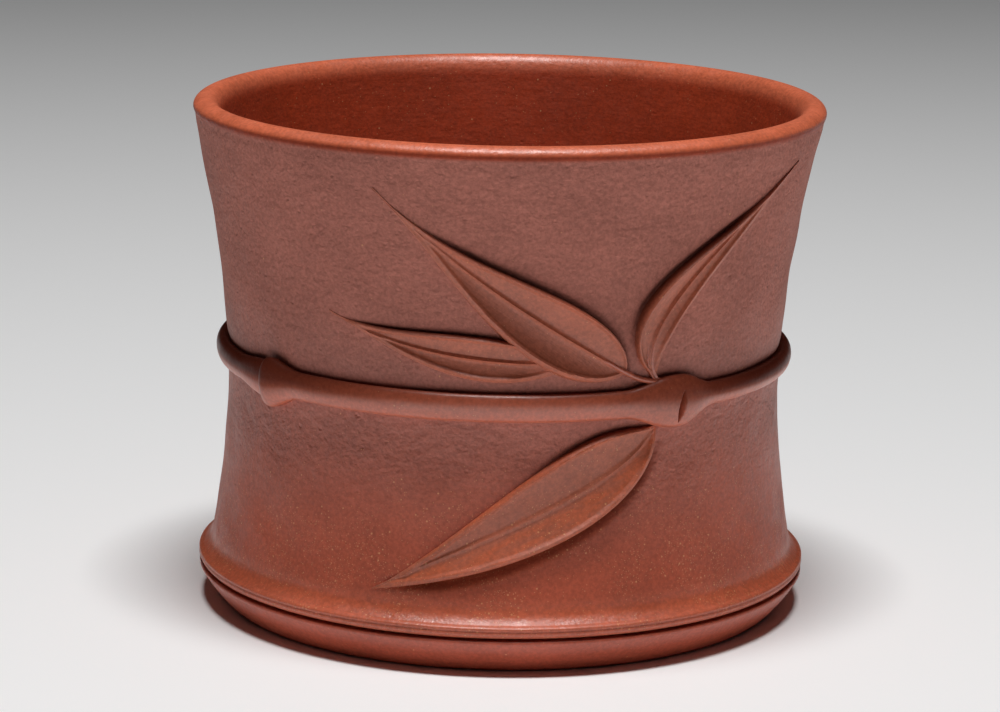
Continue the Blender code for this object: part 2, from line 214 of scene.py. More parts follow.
# Facets and tolerances
TURN_STEPS = 480
WALL_ROWS = 310
BORE_ROWS = 60
ROUND_STEPS = 24
BRANCH_STEP = 0.00030
NICK_STEP = 0.00006
BRANCH_SIDES = 44
STALK_ROWS = 48
FINE_START = -46.0
FINE_END = 72.0
FINE_STEP = 0.2
COARSE_STEP = 1.0
EDGE_STEPS = 12
SHARP_ANGLE = math.radians(42)
MERGE_DISTANCE = 1e-7
SLOPE_STEP = 0.00001
EVEN_TURN = np.linspace(0, 360, TURN_STEPS, endpoint=False)
STEM_TURN = np.linspace(STEM_LOW_TURN, STEM_HIGH_TURN, BRANCH_SIDES)
WALL_TURN = np.concatenate([np.arange(FINE_START, FINE_END, FINE_STEP),
                            np.arange(FINE_END, FINE_START + 360, COARSE_STEP)])


class Edge(NamedTuple):
    """One side of a leaf: its greatest width, how full it is to base and tip, how high its edge stands, how
    far its side is cut under, how wide its edge is rounded, and how much painted shade lies on the rise to
    that edge."""

    width: float
    base_power: float
    tip_power: float
    height: float
    undercut: float
    shoulder: float = 0.00020
    shade: float = 0.0

    def half_width(self, share):
        """Width beside the midrib, at shares of the way from the base to the tip."""
        peak = self.base_power / (self.base_power + self.tip_power)
        rise = (share / peak) ** self.base_power
        fall = ((1 - share) / (1 - peak)) ** self.tip_power
        return np.maximum(self.width * rise * fall, LEAF_TIP_HALF_WIDTH)


class Leaf(NamedTuple):
    """A leaf laid on the wall. Rises are heights over the branch's centre line, negative below it. tuck is
    the share of its length over which its base slips under another leaf, rubbed how strongly painted light
    makes its side that faces the lamp brighter orange, and rib how high its midrib is beside the other
    leaves'."""

    base_angle: float
    base_rise: float
    tip_angle: float
    tip_rise: float
    base_reach: float
    base_bow: float
    tip_bow: float
    left: Edge
    right: Edge
    tuck: float = 0.0
    rubbed: float = 0.0
    rib: float = 1.0


UPPER_PANEL = WALL_TOP - BRANCH_HEIGHT
LOWER_PANEL = BRANCH_HEIGHT - RIDGE_TOP

LEAVES = {
    "leaf_upper_left": Leaf(
        base_angle=24.1, base_rise=0.0035, tip_angle=-24.0, tip_rise=0.87 * UPPER_PANEL,
        base_reach=0.333, base_bow=0.0012, tip_bow=0.0018,
        left=Edge(width=0.0040, base_power=0.75, tip_power=2.0, height=0.00110, undercut=-0.00080,
                  shoulder=0.00055, shade=0.75),
        right=Edge(width=0.0034, base_power=0.66, tip_power=2.0, height=0.00130, undercut=0.00035)),
    "leaf_lower_left": Leaf(
        base_angle=15.5, base_rise=0.0047, tip_angle=-35.3, tip_rise=0.34 * UPPER_PANEL,
        base_reach=0.333, base_bow=0.0012, tip_bow=0.0022,
        left=Edge(width=0.00240, base_power=1.2, tip_power=2.1, height=0.00080, undercut=-0.00050,
                  shoulder=0.00045, shade=0.55),
        right=Edge(width=0.00242, base_power=1.0, tip_power=1.6, height=0.00085, undercut=0.00030),
        tuck=0.20),
    "leaf_right": Leaf(
        base_angle=30.6, base_rise=0.00255, tip_angle=65.2, tip_rise=0.90 * UPPER_PANEL,
        base_reach=0.060, base_bow=0.0074, tip_bow=0.0041,
        left=Edge(width=0.00265, base_power=1.65, tip_power=3.6, height=0.00120, undercut=0.00035),
        right=Edge(width=0.0020, base_power=0.64, tip_power=1.25, height=0.00080, undercut=-0.00045,
                   shoulder=0.00045, shade=0.25)),
    "leaf_lower": Leaf(
        base_angle=31.3, base_rise=-0.0027, tip_angle=-24.5, tip_rise=-0.932 * LOWER_PANEL,
        base_reach=0.156, base_bow=0.00335, tip_bow=-0.0004,
        left=Edge(width=0.00370, base_power=0.95, tip_power=1.02, height=0.00122, undercut=-0.00010,
                  shoulder=0.00050),
        right=Edge(width=0.00453, base_power=1.10, tip_power=1.98, height=0.00095, undercut=0.00030,
                   shoulder=0.00032),
        rubbed=1.0, rib=0.6),
}


class Stalk(NamedTuple):
    """Ridge from the branch into a leaf: where it starts round the cup, how far it reaches along the midrib,
    its half widths and heights at both ends, and how deep it is hollowed between its two edges."""

    leaf: str
    foot_angle: float
    reach: float
    half_widths: tuple
    heights: tuple
    hollow: float = 0.0


STALKS = {
    "stalk_upper_left": Stalk("leaf_upper_left", foot_angle=31.0, reach=0.30, half_widths=(0.00034, 0.00014),
                              heights=(0.00095, 0.00020)),
    "stalk_right": Stalk("leaf_right", foot_angle=31.6, reach=0.20, half_widths=(0.00030, 0.00050),
                         heights=(0.00090, 0.00040), hollow=0.00030),
}


class Scoop(NamedTuple):
    """Hollow that a tool left in the wall along one side of a leaf, over shares of the leaf's length. It
    starts with a share of its width at the leaf's base. The greater its fall, the flatter it is inside."""

    leaf: str
    side: str
    depth: float
    width: float
    start: float
    end: float
    base_share: float = 1.0
    fall: float = 1.4

    def taper(self, share):
        """How much of the scoop's depth is left at shares of the leaf's length."""
        return smooth((share - self.start) / SCOOP_RAMP) * smooth((self.end - share) / SCOOP_RAMP)


SCOOPS = (
    Scoop("leaf_upper_left", "right", depth=0.00065, width=0.00042, start=-0.1, end=0.84),
    Scoop("leaf_lower_left", "right", depth=0.00045, width=0.00036, start=0.1, end=0.95),
    Scoop("leaf_right", "left", depth=0.00068, width=0.00050, start=0.14, end=0.85, base_share=0.7),
    Scoop("leaf_lower", "right", depth=0.00060, width=0.00040, start=-0.1, end=0.50),
    Scoop("leaf_lower", "left", depth=0.00062, width=0.00088, start=0.0, end=1.05, base_share=0.9, fall=3.0),
)


def wall_radius(height):
    """Outer radius of the wall at heights."""
    above = np.clip((height - WAIST_HEIGHT) / (WALL_TOP - WAIST_HEIGHT), 0, None)
    below = np.clip((WAIST_HEIGHT - height) / (WAIST_HEIGHT - RIDGE_TOP), 0, None)
    return WAIST_RADIUS + MOUTH_FLARE * above ** FLARE_POWER + FOOT_FLARE * below ** FLARE_POWER


def wall_slope(height):
    """Change of the wall's radius with height."""
    return (wall_radius(height + SLOPE_STEP) - wall_radius(height - SLOPE_STEP)) / (2 * SLOPE_STEP)


def bore_radius(height):
    """Inner radius of the wall at heights."""
    return wall_radius(np.maximum(height, FLOOR_HEIGHT)) - WALL_THICKNESS


def round_cup(radius, angle, height):
    """Points at radii, angles in degrees and heights, as one array with x, y, z last."""
    turn = np.radians(angle)
    radius, turn, height = np.broadcast_arrays(radius, turn, height)
    shift = RIM_SHIFT * smooth((height - RIM_SHIFT_START) / (CUP_HEIGHT - RIM_SHIFT_START))
    return np.stack([radius * np.sin(turn) + shift, -radius * np.cos(turn), height], axis=-1)


def on_wall(angle, height, proud):
    """Points that stand proud of the wall."""
    return round_cup(wall_radius(height) + proud, angle, height)


def bezier(points, steps):
    """Curve with two to four control points, as an array of steps + 1 points."""
    share = np.linspace(0, 1, steps + 1)[:, None]
    points = [np.array(point, float) for point in points]
    curves = [np.repeat(point[None], steps + 1, 0) for point in points]
    while len(curves) > 1:
        curves = [first * (1 - share) + second * share for first, second in zip(curves, curves[1:])]
    return curves[0]


def smooth(share):
    """Smooth step from 0 to 1."""
    share = np.clip(share, 0, 1)
    return share * share * (3 - 2 * share)


def paired(first, second):
    """Rows of two values. A single value serves every row."""
    return np.stack(np.broadcast_arrays(first, second), axis=-1)


def from_front(angle):
    """Angles from the front, between -180 and 180."""
    return (angle + 180) % 360 - 180


def grid_faces(rows, columns, wrap_rows):
    """Quads over a grid of vertices numbered row by row. Columns always close on themselves."""
    row = np.arange(rows if wrap_rows else rows - 1)[:, None]
    column = np.arange(columns)
    beside = (column + 1) % columns
    below = (row + 1) % rows
    corners = [row * columns + column, row * columns + beside, below * columns + beside,
               below * columns + column]
    return np.stack(corners, axis=-1).reshape(-1, 4).tolist()


def placed(name, data):
    """New object in the scene."""
    made = bpy.data.objects.new(name, data)
    bpy.context.scene.collection.objects.link(made)
    return made


def piece(node, vertices, faces, slot, *materials, **layers):
    """Smooth closed mesh that stands for a CAD node and rides on the cup. Layers hold a value for each
    vertex: hollow is painted shade, 1 deep in a crease, and rubbed is painted light, 1 where a leaf is
    painted fully brighter orange."""
    name = node + "_fired"
    mesh = bpy.data.meshes.new(name)
    mesh.from_pydata(vertices.reshape(-1, 3).tolist(), [], faces)
    for layer, values in layers.items():
        mesh.attributes.new(layer, "FLOAT", "POINT").data.foreach_set("value", values.ravel())
    shape = bmesh.new()
    shape.from_mesh(mesh)
    bmesh.ops.remove_doubles(shape, verts=shape.verts, dist=MERGE_DISTANCE)
    bmesh.ops.recalc_face_normals(shape, faces=shape.faces)
    shape.to_mesh(mesh)
    shape.free()
    mesh.shade_smooth()
    mesh.set_sharp_from_angle(angle=SHARP_ANGLE)
    for material in materials:
        mesh.materials.append(material)
    made = placed(name, mesh)
    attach(made, "root")
    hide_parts(node)
    return made


def turned(node, profile, slot, *materials, angle=EVEN_TURN, proud=0.0, lift=0.0, **layers):
    """Revolve a closed profile of (radius, height) rows. proud and lift add to them, row by column."""
    points = round_cup(profile[:, :1] + proud, angle[None, :], profile[:, 1:] + lift)
    return piece(node, points, grid_faces(len(profile), len(angle), True), slot, *materials, **layers)


def line_inside(made, middle):
    """Give the second material to the faces inside a middle radius, which depends on the height."""
    for face in made.data.polygons:
        x, y, z = face.center
        face.material_index = int(math.hypot(x, y) < middle(z))


def lofted(node, sections, clay, **layers):
    """Skin a row of closed sections and cap both ends."""
    rows, columns = sections.shape[:2]
    faces = grid_faces(rows, columns, False)
    faces.append(list(range(columns)))
    faces.append(list(range((rows - 1) * columns, rows * columns)))
    piece(node, sections, faces, "burnished_clay", clay, **layers)


def column(*parts):
    """Join parts of a profile into one array of (radius, height) rows."""
    return np.concatenate([np.array(part, float).reshape(-1, 2) for part in parts])


def wall_face(radius, low, high, rows):
    """Rows of (radius, height) along one face of the wall."""
    height = np.linspace(low, high, rows)
    return paired(radius(height), height)


def waves(height):
    """Low waves over the wall, row by column, that die out at both ends."""
    random = np.random.default_rng(WAVE_SEED)
    turn = np.radians(WALL_TURN)[None, :]
    height = height[:, None]
    total = np.zeros((height.size, turn.size))
    for _ in range(WAVES):
        around = random.integers(*WAVES_AROUND)
        upward = random.uniform(*WAVES_UPWARD) * random.choice((-1, 1))
        total += np.cos(around * turn + upward * height + random.uniform(0, 2 * math.pi))
    low = smooth((height - RIDGE_BLEND_TOP) / WAVE_FADE)
    high = smooth((WALL_TOP - LIP_BLEND - height) / WAVE_FADE)
    return WAVE_HEIGHT * total * low * high


def scoop_depth(scoop, flat):
    """Depth of a scoop at points of the unrolled wall."""
    leaf = LEAVES[scoop.leaf]
    share = np.linspace(0, 1, LEAF_ROWS)
    outline = leaf_side(leaf, scoop.side, share)
    reach = SCOOP_REACH * scoop.width
    near = np.all((flat > outline.min(axis=0) - reach) & (flat < outline.max(axis=0) + reach), axis=-1)
    apart = np.linalg.norm(flat[near][:, None] - outline[None], axis=-1)
    closest = share[np.argmin(apart, axis=1)]
    widening = scoop.base_share + (1 - scoop.base_share) * smooth(closest / SCOOP_WIDENING)
    fall = np.exp(-(apart.min(axis=1) / scoop.width / widening) ** scoop.fall)
    depth = np.zeros(flat.shape[:-1])
    depth[near] = scoop.depth * scoop.taper(closest) * fall
    return depth


def scoops(height):
    """Depth of all scoops over the wall, row by column."""
    around = np.radians(from_front(WALL_TURN)) * WAIST_RADIUS
    flat = paired(around[None, :], (height - BRANCH_HEIGHT)[:, None])
    fade = smooth((height - RIDGE_BLEND_TOP) / SCOOP_FADE)[:, None]
    return fade * sum(scoop_depth(scoop, flat) for scoop in SCOOPS)


def crease(height):
    """Depth of the crease in the wall over the branch and the painted shade on the wall about it, row by
    column.
    """
    edge = np.array([branch_top(angle) for angle in WALL_TURN])
    over = np.abs((height - BRANCH_HEIGHT)[:, None] - edge[None, :])
    depth = CREASE_DEPTH * np.exp(-(over / CREASE_WIDTH) ** CREASE_POWER)
    return depth, CREASE_SHADE * np.exp(-over / CREASE_SHADE_WIDTH)


def body_wall(clay, bowl):
    """Waisted slab with its sanded outside and its wiped inside. Both ends hide in the lip and the ridge."""
    top = WALL_TOP - LIP_BLEND
    outside = wall_face(wall_radius, RIDGE_BLEND_TOP, top, WALL_ROWS)[::-1]
    inside = wall_face(bore_radius, FLOOR_HEIGHT, top, BORE_ROWS)
    seat = wall_radius(RIDGE_TOP) - GROOVE_DEPTH
    foot = [(seat, RIDGE_BLEND_TOP - HIDDEN_STEP), (seat, WALL_BOTTOM),
            (bore_radius(FLOOR_HEIGHT), WALL_BOTTOM)]
    head = [(bore_radius(top) + HIDDEN_STEP, top), (wall_radius(top) - HIDDEN_STEP, top)]
    profile = column(outside, foot, inside, head)
    proud = np.zeros((len(profile), len(WALL_TURN)))
    hollow = np.zeros_like(proud)
    height = outside[:, 1]
    crease_depth, crease_shade = crease(height)
    sunk = scoops(height) + crease_depth
    proud[:WALL_ROWS] = waves(height) - sunk
    # Painted shade in the scoops and the crease, by their depth, and on the wall about the crease
    hollow[:WALL_ROWS] = np.clip(np.maximum(sunk / PAINTED_SHADE_FULL_DEPTH, crease_shade), 0, 1)
    wall = turned("body_wall", profile, "wall_clay", clay, bowl, angle=WALL_TURN, proud=proud, hollow=hollow)
    line_inside(wall, lambda height: wall_radius(height) - WALL_THICKNESS / 2)


def lip_ring(clay, bowl):
    """Lip that grows out of the wall in a bead and rounds over to the bore."""
    start = WALL_TOP - LIP_BLEND
    turn = np.radians(np.linspace(LIP_UNDER_TURN, 90, 2 * ROUND_STEPS))
    bead = paired(LIP_PEAK_RADIUS + LIP_BEAD_WIDTH * np.cos(turn),
                  LIP_PEAK_HEIGHT - LIP_BEAD_HEIGHT * (1 - np.sin(turn)))
    way_in = (bead[1] - bead[0]) / np.linalg.norm(bead[1] - bead[0])
    foot = np.array([wall_radius(start), start])
    rise = np.array([wall_slope(start), 1.0]) * LIP_PINCH
    outer = bezier([foot, foot + rise, bead[0] - way_in * LIP_PINCH, bead[0]], ROUND_STEPS)
    inner_width = LIP_PEAK_RADIUS - bore_radius(LIP_INNER_HEIGHT)
    peak, edge = bead[-1], np.array([bore_radius(LIP_INNER_HEIGHT), LIP_INNER_HEIGHT])
    level = np.array([inner_width, 0.0]) * LIP_INNER_FULLNESS
    steep = np.array([wall_slope(LIP_INNER_HEIGHT), 1.0]) * LIP_INNER_DROP * LIP_INNER_FULLNESS
    slope = bezier([peak, peak - level, edge + steep, edge], 2 * ROUND_STEPS)
    inner = wall_face(bore_radius, start, LIP_INNER_HEIGHT, ROUND_STEPS)[::-1]
    hidden = [((wall_radius(start) + bore_radius(start)) / 2, start - HIDDEN_STEP)]
    profile = column(outer, bead[1:], slope[1:], inner[1:], hidden)
    share = smooth((profile[:, 1:] - start) / (LIP_PEAK_HEIGHT - start))
    around = np.radians(EVEN_TURN)[None, :]
    tilt = (RIM_SIDE_TILT * np.sin(around) - RIM_TILT * np.cos(around)) * share
    lip = turned("lip_ring", profile, "burnished_clay", clay, bowl, lift=tilt)
    line_inside(lip, lambda height: LIP_PEAK_RADIUS - inner_width / 2)


def ridge_ring(clay):
    """Ridge: a hollow sweep out of the wall, a shoulder, a cove over a bead, and a round lower edge."""
    top = np.array([wall_radius(RIDGE_BLEND_TOP), RIDGE_BLEND_TOP])
    shoulder = np.array([RIDGE_RADIUS - RIDGE_SHOULDER_INSET, RIDGE_SHOULDER_HEIGHT])
    crest = np.array([RIDGE_RADIUS, RIDGE_CREST])
    reach = RIDGE_HOLLOW * (RIDGE_BLEND_TOP - RIDGE_SHOULDER_HEIGHT)
    lean = np.array([wall_slope(RIDGE_BLEND_TOP), 1.0]) * reach
    tilt = np.array([math.sin(RIDGE_SHOULDER_TILT), -math.cos(RIDGE_SHOULDER_TILT)])
    sweep = bezier([top, top - lean, shoulder - tilt * reach, shoulder], 2 * ROUND_STEPS)
    past = shoulder + tilt * RIDGE_ROUND / 2
    turn = bezier([shoulder, past, crest + (0, RIDGE_ROUND), crest], ROUND_STEPS)
    cove = np.array([RIDGE_RADIUS - RIDGE_COVE_DEPTH, RIDGE_COVE_HEIGHT])
    bead = np.array([RIDGE_RADIUS, RIDGE_BEAD_HEIGHT])
    bend = (0, (RIDGE_COVE_HEIGHT - RIDGE_BEAD_HEIGHT) / 3)
    hollow = bezier([crest, crest - bend, cove + bend, cove], ROUND_STEPS // 2)
    swell = bezier([cove, cove - bend, bead + bend, bead], ROUND_STEPS // 2)
    bottom = WALL_BOTTOM + GROOVE_LIFT
    under = bezier([bead, bead - bend, (RIDGE_RADIUS - RIDGE_UNDERCUT, bottom + GROOVE_ROUND),
                    (RIDGE_RADIUS - RIDGE_UNDERCUT - GROOVE_ROUND, bottom)], ROUND_STEPS)
    inside = wall_radius(RIDGE_TOP) - GROOVE_DEPTH
    hidden = [(inside, bottom), (inside, RIDGE_BLEND_TOP)]
    outline = column(sweep, turn[1:], hollow[1:], swell[1:], under[1:], hidden)
    turned("ridge_ring", outline, "burnished_clay", clay)


def foot_ring(clay):
    """Tapering foot with a slightly full outside."""
    top = FOOT_HEIGHT + GROOVE_LIFT
    shoulder = top - FOOT_TOP_ROUND
    edge = bezier([(FOOT_TOP_RADIUS - FOOT_TOP_ROUND, top), (FOOT_TOP_RADIUS, top),
                   (FOOT_TOP_RADIUS, shoulder)], ROUND_STEPS)
    share = np.linspace(0, 1, 2 * ROUND_STEPS)
    taper = FOOT_TOP_RADIUS + (FOOT_CONTACT_RADIUS - FOOT_TOP_RADIUS) * share
    flank = paired(taper + FOOT_BELLY * np.sin(math.pi * share),
                   shoulder + (FOOT_EDGE_ROUND - shoulder) * share)
    contact = bezier([flank[-1], (FOOT_CONTACT_RADIUS - FOOT_EDGE_ROUND, 0),
                      (FOOT_CONTACT_RADIUS - 2 * FOOT_EDGE_ROUND, 0)], ROUND_STEPS // 3)
    bore = FOOT_CONTACT_RADIUS - FOOT_WIDTH
    inside = bezier([(bore + FOOT_EDGE_ROUND, 0), (bore, 0), (bore, FOOT_EDGE_ROUND)], ROUND_STEPS // 3)
    hidden = [(bore, BASE_UNDERSIDE), (bore_radius(FLOOR_HEIGHT), BASE_UNDERSIDE),
              (bore_radius(FLOOR_HEIGHT), top)]
    turned("foot_ring", column(edge, flank[1:], contact[1:], inside, hidden), "burnished_clay", clay)


def base_disc(clay):
    """Floor of the bowl, drawn up into the wall with a fillet, and the plain underside."""
    rim = bore_radius(FLOOR_HEIGHT)
    fillet_top = FLOOR_HEIGHT + FLOOR_FILLET
    third = FLOOR_FILLET / 3
    fillet = bezier([(bore_radius(fillet_top), fillet_top), (rim, FLOOR_HEIGHT + third),
                     (rim - third, FLOOR_HEIGHT), (rim - FLOOR_FILLET, FLOOR_HEIGHT)], ROUND_STEPS)
    floor = paired(np.linspace(rim - FLOOR_FILLET, 0, ROUND_STEPS), FLOOR_HEIGHT)
    outside = rim + WALL_THICKNESS / 3
    under = paired(np.linspace(0, outside, ROUND_STEPS), BASE_UNDERSIDE)
    hidden = [(outside, fillet_top)]
    turned("base_disc", column(fillet, floor[1:], under, hidden), "wall_clay", clay)


class Joint(NamedTuple):
    """Swelling at one end of a length of branch: added half height and thickness, how far it runs, how far
    its middle hangs, and how far before the end it is fullest, which is negative past the end."""

    height: float
    proud: float
    length: float
    drop: float = 0.0
    peak: float = 0.0


PLAIN_END = Joint(height=0.00062, proud=0.0001, length=0.0055, drop=0.00018)
RIGHT_NODE_FRONT = Joint(height=0.00136, proud=0.00060, length=0.0060, drop=0.00012, peak=0.0009)
RIGHT_NODE_BACK = Joint(height=0.00163, proud=0.00060, length=0.0050, drop=0.00012, peak=-0.0009)
LEFT_NODE = Joint(height=0.00150, proud=0.00084, length=0.0055, drop=0.00032)


class Length(NamedTuple):
    """One length of the branch: its ends round the cup, its joints, its half height, whether its start is
    rounded off, and whether its end has a nick."""

    start_angle: float
    end_angle: float
    start: Joint
    end: Joint
    half_height: float
    cut_start: bool = False
    nicked: bool = False

    def span(self):
        """Distance between its ends, round the waist."""
        return math.radians(self.end_angle - self.start_angle) * WAIST_RADIUS

    def swelling(self, station):
        """Shares of the swelling of both joints at a distance from the start."""
        return node_swell(station, self.start), node_swell(self.span() - station, self.end)


BACK_SPAN = (360.0 + LEFT_NODE_ANGLE - RIGHT_NODE_ANGLE) / 3
RIGHT_BACK_ANGLE = RIGHT_NODE_ANGLE + BACK_SPAN
LEFT_BACK_ANGLE = RIGHT_BACK_ANGLE + BACK_SPAN
LENGTHS = {
    "branch_front": Length(LEFT_NODE_ANGLE, RIGHT_NODE_ANGLE, LEFT_NODE, RIGHT_NODE_FRONT,
                           half_height=0.00155, cut_start=True, nicked=True),
    "branch_right": Length(RIGHT_NODE_ANGLE, RIGHT_BACK_ANGLE, RIGHT_NODE_BACK, RIGHT_NODE_FRONT,
                           half_height=0.00128),
    "branch_back": Length(RIGHT_BACK_ANGLE, LEFT_BACK_ANGLE, RIGHT_NODE_BACK, RIGHT_NODE_FRONT,
                          half_height=0.00135, nicked=True),
    "branch_left": Length(LEFT_BACK_ANGLE, LEFT_BACK_ANGLE + BACK_SPAN, RIGHT_NODE_BACK, PLAIN_END,
                          half_height=0.00145),
}


def node_swell(distance, joint):
    """Share of a joint's swelling at distances along the branch: full at its peak, none on the stem."""
    share = np.clip((np.abs(distance - joint.peak) - NODE_FLAT_LENGTH) / joint.length, 0, 1)
    return 0.5 + 0.5 * np.cos(math.pi * share)


def stem_section(half_height, proud):
    """Section of the branch as rows of (rise, proud): a rod, tucked in at the top, its back in the wall."""
    middle = proud * STEM_CENTRE
    turn = np.radians(STEM_TURN)
    bow = paired(half_height * np.sin(turn), middle + (proud - middle) * np.cos(turn))
    back = [(bow[-1, 0], -STEM_SINK), (bow[0, 0], -STEM_SINK)]
    return column(bow, back)


def nick_depth(to_end, rise):
    """Depth of the nick at a distance from the joint, over the rises of a section."""
    along = (rise - NICK_RISE) / NICK_HALF_LENGTH
    width = NICK_HALF_WIDTH * np.clip(1 - along ** 2, NICK_TIP_SHARE, None)
    across = (to_end - NICK_PLACE + NICK_LEAN * (rise - NICK_RISE)) / width
    return NICK_DEPTH * np.clip(1 - along ** 2, 0, None) * np.clip(1 - np.abs(across), 0, None)


def stations_along(span, cut_start, nicked):
    """Distances of the sections along a length, closer together at a cut end and at a nick."""
    low = NODE_EDGE_LENGTH if cut_start else 0.0
    high = span - NICK_PLACE - NICK_FINE_REACH if nicked else span
    first = low * np.linspace(0, 1, EDGE_STEPS, endpoint=False) ** 2 if cut_start else []
    even = np.linspace(low, high, int((high - low) / BRANCH_STEP))
    fine = np.linspace(high, span, int((span - high) / NICK_STEP) + 1)[1:]
    return np.concatenate([first, even, fine])


def stem_shade(angle):
    """Painted shade on the points of a section: on the upper side, and more so at the cup's sides."""
    away = abs(from_front(angle)) / STEM_SIDE_ANGLE
    aside = smooth(away) - STEM_BACK_EASE * smooth(away - 1)
    upper = smooth((STEM_TURN - STEM_SHADE_TURN + STEM_SIDE_LOWER * aside) / STEM_SHADE_SPAN)
    amount = STEM_FRONT_SHADE + (STEM_SIDE_SHADE - STEM_FRONT_SHADE) * aside
    top = smooth((STEM_TURN - STEM_TOP_TURN) / (STEM_HIGH_TURN - STEM_TOP_TURN))
    return np.concatenate([np.maximum(upper * amount, top * aside), [1.0, 0.0]])


def edge_cut(station, run):
    """How much the round edge of a cut end takes off at a distance from it, where the edge runs this far."""
    left = max(1 - station / run, 0)
    return NODE_EDGE_ROUND * (1 - math.sqrt(1 - left ** 2))


def branch_length(node, length, clay):
    """One length of the branch between two joints."""
    span = length.span()
    sections, hollow = [], []
    for station in stations_along(span, length.cut_start, length.nicked):
        near, far = length.swelling(station)
        half_height = length.half_height + length.start.height * near + length.end.height * far
        proud = STEM_PROUD + length.start.proud * near + length.end.proud * far
        # Painted shade on the rounded cut end, which fades over the rounding
        cut_shade = 0.0
        if length.cut_start:
            half_height -= edge_cut(station, NODE_EDGE_LENGTH)
            proud -= edge_cut(station, NODE_EDGE_ROUND)
            cut_shade = max(1 - station / NODE_EDGE_ROUND, 0)
        section = stem_section(half_height, proud)
        if length.nicked:
            section[:-2, 1] -= nick_depth(span - station, section[:-2, 0])
        angle = length.start_angle + (length.end_angle - length.start_angle) * station / span
        middle = BRANCH_HEIGHT - length.start.drop * near - length.end.drop * far
        sections.append(on_wall(angle, middle + section[:, 0], section[:, 1]))
        hollow.append(np.maximum(stem_shade(angle), cut_shade))
    lofted(node, np.array(sections), clay, hollow=np.array(hollow))


def unrolled(angle, rise):
    """Point on the unrolled wall: distance round the waist, and rise over the branch."""
    return np.array([math.radians(angle) * WAIST_RADIUS, rise])


def square_left(heading):
    """Unit directions square to headings on the unrolled wall, on their left."""
    heading = heading / np.linalg.norm(heading, axis=1, keepdims=True)
    return paired(-heading[:, 1], heading[:, 0])


def midrib(leaf, share):
    """Points of the midrib on the unrolled wall and the directions square to it, on its left."""
    base, tip = unrolled(leaf.base_angle, leaf.base_rise), unrolled(leaf.tip_angle, leaf.tip_rise)
    chord = tip - base
    side = np.array([-chord[1], chord[0]]) / np.hypot(*chord)
    first = base + chord * leaf.base_reach + side * leaf.base_bow
    second = base + chord * 2 / 3 + side * leaf.tip_bow
    share = np.atleast_1d(share)[:, None]
    rest = 1 - share
    near_base = base * rest ** 3 + first * 3 * rest ** 2 * share
    point = near_base + second * 3 * rest * share ** 2 + tip * share ** 3
    heading = (first - base) * rest ** 2 + (second - first) * 2 * rest * share + (tip - second) * share ** 2
    return point, square_left(heading)


def from_flat(flat, proud):
    """Points on the cup from points on the unrolled wall."""
    angle = np.degrees(flat[..., 0] / WAIST_RADIUS)
    return on_wall(angle, BRANCH_HEIGHT + flat[..., 1], proud)


def leaf_side(leaf, side, share):
    """Outline of a leaf's left or right edge on the unrolled wall, at shares of its length."""
    point, left_of = midrib(leaf, share)
    edge, sign = (leaf.left, 1) if side == "left" else (leaf.right, -1)
    return point + sign * left_of * edge.half_width(share)[:, None]


def blade_height(edge, width, inset, rib_height):
    """Height of the upper face at an inset from the edge: a dished slope, a rib, a rim and a shoulder."""
    slope = LEAF_VALLEY_HEIGHT + (edge.height - LEAF_VALLEY_HEIGHT) * (1 - inset / width) ** LEAF_DISH_POWER
    shoulder = np.minimum(edge.shoulder, width * LEAF_SHOULDER_SHARE)
    near = np.clip(1 - inset / shoulder, 0, 1)
    drop = edge.height * LEAF_SHOULDER_DROP * (1 - np.sqrt(1 - near ** 2))
    rim = LEAF_RIM_HEIGHT * np.exp(-((inset - edge.shoulder - LEAF_RIM_INSET) / LEAF_RIM_HALF_WIDTH) ** 2)
    rib = rib_height * np.exp(-((width - inset) / LEAF_RIB_HALF_WIDTH) ** 2)
    return slope + rib + rim - drop


def shade_beside(node, side, share):
    """Painted shade on a leaf's side at shares of its length: as dark as the painted shade in the scoop
    beside it.
    """
    beside = [scoop for scoop in SCOOPS if (scoop.leaf, scoop.side) == (node, side)]
    depth = sum(scoop.depth * scoop.taper(share) for scoop in beside)
    return np.clip(np.broadcast_to(depth / PAINTED_SHADE_FULL_DEPTH, share.shape), 0, 1)[:, None]


def leaf_painted_light(across):
    """Painted light over one section of a leaf, from its right foot over the rib to its left foot: brighter
    orange over most of the left half and on the rim of the right half.
    """
    left = smooth(across / PAINTED_LIGHT_START) * (1 - PAINTED_LIGHT_FADE * smooth((across - PAINTED_LIGHT_END) / (1 - PAINTED_LIGHT_END)))
    right = smooth((across - PAINTED_LIGHT_RIM) / (1 - PAINTED_LIGHT_RIM))
    return np.concatenate([[0.0], right[::-1], left[1:], [0.0]])


